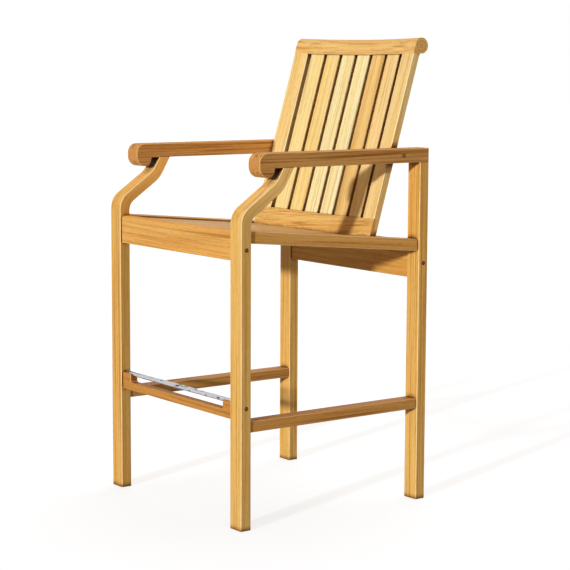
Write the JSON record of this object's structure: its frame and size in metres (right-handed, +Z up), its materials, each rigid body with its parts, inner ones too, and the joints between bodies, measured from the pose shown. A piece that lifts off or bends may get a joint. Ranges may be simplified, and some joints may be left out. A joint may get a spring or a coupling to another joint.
{
  "type": "bar chair with arms",
  "caption": "Wooden bar chair with swept front legs, rolled arm noses, a bowed slatted back under a rolled crest, a sloping slat seat and a metal foot rod.",
  "frame": {"origin": "on the floor under the middle of the chair's overall box", "axes": "+X to the chair's right as seen from the front, +Y to the rear, +Z up; the front faces -Y"},
  "size_m": [0.614, 0.6436, 1.2191],
  "materials": {
    "frame_teak": "smooth oiled teak",
    "arm_teak": "smooth oiled teak",
    "back_slat_teak": "smooth pale teak",
    "seat_slat_teak": "smooth teak",
    "plug_teak": "end grain, sanded flush",
    "polished_rod": "polished stainless steel",
    "screw_steel": "plain steel"
  },
  "bodies": {
    "root": {"arm_left": "arm_teak", "arm_plugs": "plug_teak", "arm_right": "arm_teak", "arm_screws": "screw_steel", "back_bottom_rail": "frame_teak", "back_slat_1": "back_slat_teak", "back_slat_2": "back_slat_teak", "back_slat_3": "back_slat_teak", "back_slat_4": "back_slat_teak", "back_slat_5": "back_slat_teak", "back_slat_6": "back_slat_teak", "back_stile_left": "frame_teak", "back_stile_right": "frame_teak", "crest_rail": "frame_teak", "foot_rod": "polished_rod", "front_apron": "frame_teak", "front_leg_left": "frame_teak", "front_leg_right": "frame_teak", "front_stretcher": "frame_teak", "leg_plugs": "plug_teak", "leg_screws": "screw_steel", "rear_apron": "frame_teak", "rear_leg_left": "frame_teak", "rear_leg_right": "frame_teak", "seat_slat_1": "seat_slat_teak", "seat_slat_2": "seat_slat_teak", "seat_slat_3": "seat_slat_teak", "seat_slat_4": "seat_slat_teak", "seat_slat_5": "seat_slat_teak", "seat_slat_6": "seat_slat_teak", "seat_slat_7": "seat_slat_teak", "seat_slat_8": "seat_slat_teak", "side_rail_left": "frame_teak", "side_rail_right": "frame_teak", "side_stretcher_left": "frame_teak", "side_stretcher_right": "frame_teak"}
  },
  "joints": []
}
